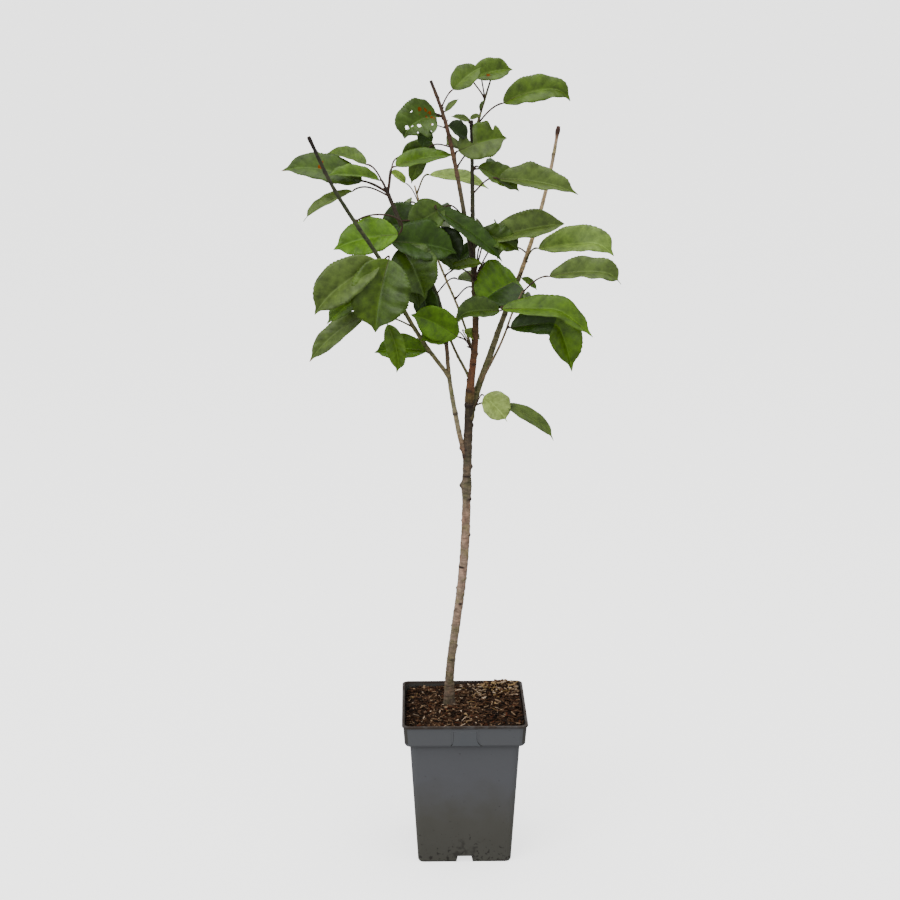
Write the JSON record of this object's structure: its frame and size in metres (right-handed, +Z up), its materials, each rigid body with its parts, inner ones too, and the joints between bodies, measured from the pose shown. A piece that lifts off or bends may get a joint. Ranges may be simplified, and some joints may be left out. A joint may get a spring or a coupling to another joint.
{
  "type": "potted tree",
  "caption": "Young cherry tree with a slim leaning trunk, upright boughs and large drooping leaves, growing from bark mix in a tall square nursery pot.",
  "frame": {"origin": "middle of the flat underside of the pot", "axes": "+Z up along the pot's upright axis, -Y towards the side that faces the viewer, +X to that viewer's right"},
  "size_m": [0.4333, 0.3231, 1.0818],
  "materials": {
    "pot": "satin moulded plastic",
    "potting_mix": "loose damp bark and fibre",
    "bark": "matt bark",
    "foliage": "soft leaf, slightly waxy"
  },
  "bodies": {
    "root": {"pot": "pot", "potting_mix": "potting_mix", "trunk": "bark", "leader": "bark", "upper_left_bough": "bark", "left_bough": "bark", "far_left_bough": "bark", "inner_left_bough": "bark", "back_bough": "bark", "right_bough": "bark", "near_right_bough": "bark", "leader_foliage": "foliage", "upper_left_foliage": "foliage", "left_foliage": "foliage", "far_left_foliage": "foliage", "inner_left_foliage": "foliage", "back_foliage": "foliage", "right_foliage": "foliage", "near_right_foliage": "foliage", "middle_foliage": "foliage", "low_foliage": "foliage", "low_sprig_foliage": "foliage"}
  },
  "joints": []
}
